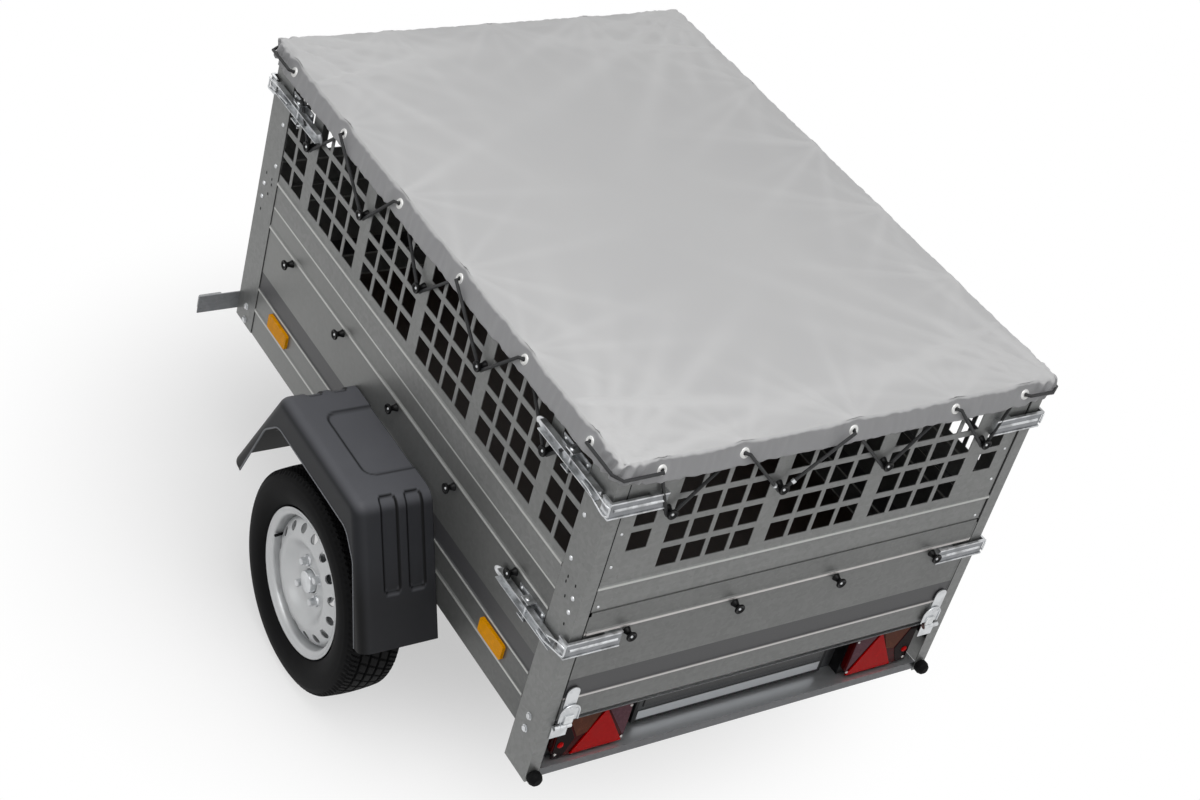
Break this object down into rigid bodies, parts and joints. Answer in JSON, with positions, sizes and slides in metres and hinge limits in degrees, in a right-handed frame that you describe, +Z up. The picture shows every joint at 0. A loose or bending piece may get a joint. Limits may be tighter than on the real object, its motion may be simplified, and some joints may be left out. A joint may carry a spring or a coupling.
{
  "type": "utility trailer",
  "caption": "Single-axle box trailer with mesh side extensions, flat cover, drop tailgate, drawbar with ball coupling and jockey wheel.",
  "frame": {"origin": "middle of the whole trailer's length and width, on the ground it stands on", "axes": "+X forward along the drawbar, +Y to the left, +Z up"},
  "size_m": [2.426, 1.506, 1.2548],
  "materials": {
    "galvanised_sheet": "galvanised sheet, satin with spangle",
    "zinc_plate": "bright zinc plate",
    "plywood": "film-faced birch plywood, matt",
    "tyre_rubber": "moulded rubber, matt",
    "black_rubber": "moulded rubber, matt",
    "wheel_silver": "silver paint on pressed steel",
    "grey_plastic": "moulded, matt",
    "guard_plastic": "fine-grained moulded plastic, satin",
    "black_plastic": "moulded, satin",
    "lamp_red": "clear red lens",
    "pale_plastic": "moulded, satin",
    "plate_white": "blank plate",
    "reflector_amber": "amber reflex lens",
    "marker_white": "clear lens",
    "cover_cloth": "coated cloth, light grey, satin"
  },
  "bodies": {
    "chassis": {"side_panel_left": "galvanised_sheet", "side_panel_right": "galvanised_sheet", "front_panel": "galvanised_sheet", "rear_post_left": "galvanised_sheet", "rear_post_right": "galvanised_sheet", "front_post_left": "galvanised_sheet", "front_post_right": "galvanised_sheet", "upper_posts_rear": "galvanised_sheet", "upper_posts_front": "galvanised_sheet", "mesh_panel_left": "galvanised_sheet", "mesh_panel_right": "galvanised_sheet", "mesh_panel_front": "galvanised_sheet", "mesh_panel_rear": "galvanised_sheet", "chassis_rail_left": "galvanised_sheet", "chassis_rail_right": "galvanised_sheet", "cross_members": "galvanised_sheet", "rear_crossmember": "galvanised_sheet", "drawbar": "galvanised_sheet", "axle_beam": "galvanised_sheet", "axle_arm_left": "galvanised_sheet", "axle_arm_right": "galvanised_sheet", "axle_seats": "galvanised_sheet", "marker_brackets": "galvanised_sheet", "hinge_feet": "zinc_plate", "upper_straps": "zinc_plate", "lower_levers": "zinc_plate", "upper_levers": "zinc_plate", "coupling_head": "zinc_plate", "coupling_handle": "zinc_plate", "jockey_clamp": "zinc_plate", "floor_board": "plywood", "mudguard_left": "guard_plastic", "mudguard_right": "guard_plastic", "lamp_cases": "black_plastic", "lamp_lenses": "lamp_red", "lamp_triangles": "lamp_red", "plate_holder": "pale_plastic", "number_plate": "plate_white", "side_reflectors": "reflector_amber", "marker_lamps": "marker_white", "rear_buffers": "black_rubber", "upper_knobs": "black_plastic", "lower_knobs": "black_plastic", "cover": "cover_cloth"},
    "tailgate": {"tailgate_panel": "galvanised_sheet", "tailgate_hinges": "zinc_plate", "tailgate_knobs": "black_plastic", "tailgate_straps": "zinc_plate"},
    "wheel_left": {"tyre_left": "tyre_rubber", "rim_left": "wheel_silver", "hub_left": "zinc_plate"},
    "wheel_right": {"tyre_right": "tyre_rubber", "rim_right": "wheel_silver", "hub_right": "zinc_plate"},
    "jockey_tube": {"jockey_tube": "zinc_plate", "jockey_crank": "zinc_plate"},
    "jockey_fork": {"jockey_fork": "zinc_plate"},
    "jockey_wheel": {"jockey_rim": "grey_plastic", "jockey_tyre": "black_rubber"}
  },
  "joints": [
    {"name": "wheel_left_spin", "type": "hinge", "parent": "chassis", "child": "wheel_left", "pos_m": [-0.412, 0.655, 0.2735], "axis": [0, 1, 0], "continuous": true},
    {"name": "wheel_right_spin", "type": "hinge", "parent": "chassis", "child": "wheel_right", "pos_m": [-0.412, -0.655, 0.2735], "axis": [0, 1, 0], "continuous": true},
    {"name": "tailgate_drop", "type": "hinge", "parent": "chassis", "child": "tailgate", "pos_m": [-1.195, 0, 0.52], "axis": [0, -1, 0], "range_deg": [0, 172]},
    {"name": "jockey_lift", "type": "slide", "parent": "chassis", "child": "jockey_tube", "axis": [0, 0, 1], "range_m": [0, 0.155]},
    {"name": "jockey_swivel", "type": "hinge", "parent": "jockey_tube", "child": "jockey_fork", "pos_m": [0.893, -0.068, 0.3], "axis": [0, 0, 1], "continuous": true},
    {"name": "jockey_spin", "type": "hinge", "parent": "jockey_fork", "child": "jockey_wheel", "pos_m": [0.851, -0.068, 0.1], "axis": [0, 1, 0], "continuous": true}
  ]
}
